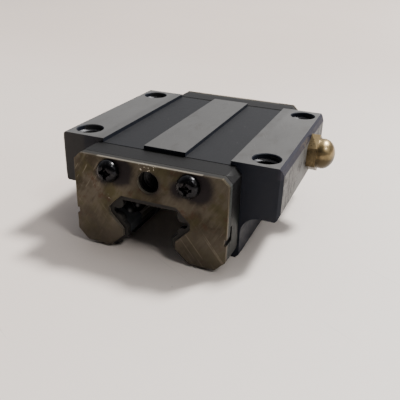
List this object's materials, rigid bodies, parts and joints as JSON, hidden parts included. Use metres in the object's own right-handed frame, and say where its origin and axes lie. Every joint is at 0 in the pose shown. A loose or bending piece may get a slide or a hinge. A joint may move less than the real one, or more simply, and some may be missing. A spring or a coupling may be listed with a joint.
{
  "type": "linear guide carriage",
  "caption": "Flanged recirculating-ball carriage for a profiled linear rail, with tapped mounting holes, end caps, rail seals and grease ports.",
  "frame": {"origin": "centre of the four tapped holes, on the mounting face", "axes": "+Z out of the mounting face, +Y along the rail, +X across it towards the flange with the capped side port; the front end is at -Y"},
  "size_m": [0.078, 0.0826, 0.03],
  "materials": {
    "block_steel": "ground lands and sides, dark oxide elsewhere",
    "cap_resin": "moulded, satin, dusty",
    "guide_resin": "moulded",
    "retainer_steel": "satin strip",
    "seal_rubber": "matt",
    "plate_steel": "worn, brown patina",
    "black_screw": "glossy black oxide",
    "brass": "tarnished",
    "ball_steel": "polished"
  },
  "bodies": {
    "carriage": {"carriage_block": "block_steel", "front_end_cap": "cap_resin", "rear_end_cap": "cap_resin", "return_guide_front_right": "guide_resin", "return_guide_front_left": "guide_resin", "return_guide_rear_right": "guide_resin", "return_guide_rear_left": "guide_resin", "return_tube_upper_right": "guide_resin", "return_tube_upper_left": "guide_resin", "return_tube_lower_right": "guide_resin", "return_tube_lower_left": "guide_resin", "top_ball_retainer": "retainer_steel", "side_ball_retainer_right": "retainer_steel", "side_ball_retainer_left": "retainer_steel", "lower_ball_retainer_right": "retainer_steel", "lower_ball_retainer_left": "retainer_steel", "bottom_seal_right": "seal_rubber", "bottom_seal_left": "seal_rubber", "front_end_seal": "seal_rubber", "rear_end_seal": "seal_rubber", "front_scraper_plate": "plate_steel", "rear_scraper_plate": "plate_steel", "front_cap_screws": "black_screw", "rear_cap_screws": "black_screw", "side_port_cap": "brass", "rear_port_plug": "black_screw"},
    "loaded_row_upper_right": {"loaded_balls_upper_right": "ball_steel"},
    "return_row_upper_right": {"return_balls_upper_right": "ball_steel"},
    "front_turn_upper_right": {"front_turn_balls_upper_right": "ball_steel"},
    "rear_turn_upper_right": {"rear_turn_balls_upper_right": "ball_steel"},
    "loaded_row_upper_left": {"loaded_balls_upper_left": "ball_steel"},
    "return_row_upper_left": {"return_balls_upper_left": "ball_steel"},
    "front_turn_upper_left": {"front_turn_balls_upper_left": "ball_steel"},
    "rear_turn_upper_left": {"rear_turn_balls_upper_left": "ball_steel"},
    "loaded_row_lower_right": {"loaded_balls_lower_right": "ball_steel"},
    "return_row_lower_right": {"return_balls_lower_right": "ball_steel"},
    "front_turn_lower_right": {"front_turn_balls_lower_right": "ball_steel"},
    "rear_turn_lower_right": {"rear_turn_balls_lower_right": "ball_steel"},
    "loaded_row_lower_left": {"loaded_balls_lower_left": "ball_steel"},
    "return_row_lower_left": {"return_balls_lower_left": "ball_steel"},
    "front_turn_lower_left": {"front_turn_balls_lower_left": "ball_steel"},
    "rear_turn_lower_left": {"rear_turn_balls_lower_left": "ball_steel"}
  },
  "joints": [
    {"name": "loaded_slide_upper_right", "type": "slide", "parent": "carriage", "child": "loaded_row_upper_right", "axis": [0, 1, 0], "range_m": [-0.002, 0.002]},
    {"name": "return_slide_upper_right", "type": "slide", "parent": "carriage", "child": "return_row_upper_right", "axis": [0, 1, 0], "range_m": [-0.002, 0.002]},
    {"name": "front_turn_upper_right_hinge", "type": "hinge", "parent": "carriage", "child": "front_turn_upper_right", "pos_m": [0.01378, -0.0285, -0.01255], "axis": [0.5736, 0, -0.8192], "range_deg": [-27.6, 27.6]},
    {"name": "rear_turn_upper_right_hinge", "type": "hinge", "parent": "carriage", "child": "rear_turn_upper_right", "pos_m": [0.01378, 0.0285, -0.01255], "axis": [0.5736, 0, -0.8192], "range_deg": [-27.6, 27.6]},
    {"name": "loaded_slide_upper_left", "type": "slide", "parent": "carriage", "child": "loaded_row_upper_left", "axis": [0, 1, 0], "range_m": [-0.002, 0.002]},
    {"name": "return_slide_upper_left", "type": "slide", "parent": "carriage", "child": "return_row_upper_left", "axis": [0, 1, 0], "range_m": [-0.002, 0.002]},
    {"name": "front_turn_upper_left_hinge", "type": "hinge", "parent": "carriage", "child": "front_turn_upper_left", "pos_m": [-0.01378, -0.0285, -0.01255], "axis": [0.5736, 0, 0.8192], "range_deg": [-27.6, 27.6]},
    {"name": "rear_turn_upper_left_hinge", "type": "hinge", "parent": "carriage", "child": "rear_turn_upper_left", "pos_m": [-0.01378, 0.0285, -0.01255], "axis": [0.5736, 0, 0.8192], "range_deg": [-27.6, 27.6]},
    {"name": "loaded_slide_lower_right", "type": "slide", "parent": "carriage", "child": "loaded_row_lower_right", "axis": [0, 1, 0], "range_m": [-0.002, 0.002]},
    {"name": "return_slide_lower_right", "type": "slide", "parent": "carriage", "child": "return_row_lower_right", "axis": [0, 1, 0], "range_m": [-0.002, 0.002]},
    {"name": "front_turn_lower_right_hinge", "type": "hinge", "parent": "carriage", "child": "front_turn_lower_right", "pos_m": [0.01468, -0.0285, -0.02065], "axis": [-0.0349, 0, -0.9994], "range_deg": [-27.6, 27.6]},
    {"name": "rear_turn_lower_right_hinge", "type": "hinge", "parent": "carriage", "child": "rear_turn_lower_right", "pos_m": [0.01468, 0.0285, -0.02065], "axis": [-0.0349, 0, -0.9994], "range_deg": [-27.6, 27.6]},
    {"name": "loaded_slide_lower_left", "type": "slide", "parent": "carriage", "child": "loaded_row_lower_left", "axis": [0, 1, 0], "range_m": [-0.002, 0.002]},
    {"name": "return_slide_lower_left", "type": "slide", "parent": "carriage", "child": "return_row_lower_left", "axis": [0, 1, 0], "range_m": [-0.002, 0.002]},
    {"name": "front_turn_lower_left_hinge", "type": "hinge", "parent": "carriage", "child": "front_turn_lower_left", "pos_m": [-0.01468, -0.0285, -0.02065], "axis": [-0.0349, 0, 0.9994], "range_deg": [-27.6, 27.6]},
    {"name": "rear_turn_lower_left_hinge", "type": "hinge", "parent": "carriage", "child": "rear_turn_lower_left", "pos_m": [-0.01468, 0.0285, -0.02065], "axis": [-0.0349, 0, 0.9994], "range_deg": [-27.6, 27.6]}
  ],
  "couplings": [
    {"joint": "return_slide_upper_right", "follows": "loaded_slide_upper_right", "ratio": -1},
    {"joint": "front_turn_upper_right_hinge", "follows": "loaded_slide_upper_right", "rad_per_m": 238.83},
    {"joint": "rear_turn_upper_right_hinge", "follows": "loaded_slide_upper_right", "rad_per_m": 238.83},
    {"joint": "return_slide_upper_left", "follows": "loaded_slide_upper_left", "ratio": -1},
    {"joint": "front_turn_upper_left_hinge", "follows": "loaded_slide_upper_left", "rad_per_m": 238.83},
    {"joint": "rear_turn_upper_left_hinge", "follows": "loaded_slide_upper_left", "rad_per_m": 238.83},
    {"joint": "return_slide_lower_right", "follows": "loaded_slide_lower_right", "ratio": -1},
    {"joint": "front_turn_lower_right_hinge", "follows": "loaded_slide_lower_right", "rad_per_m": 238.83},
    {"joint": "rear_turn_lower_right_hinge", "follows": "loaded_slide_lower_right", "rad_per_m": 238.83},
    {"joint": "return_slide_lower_left", "follows": "loaded_slide_lower_left", "ratio": -1},
    {"joint": "front_turn_lower_left_hinge", "follows": "loaded_slide_lower_left", "rad_per_m": 238.83},
    {"joint": "rear_turn_lower_left_hinge", "follows": "loaded_slide_lower_left", "rad_per_m": 238.83}
  ]
}
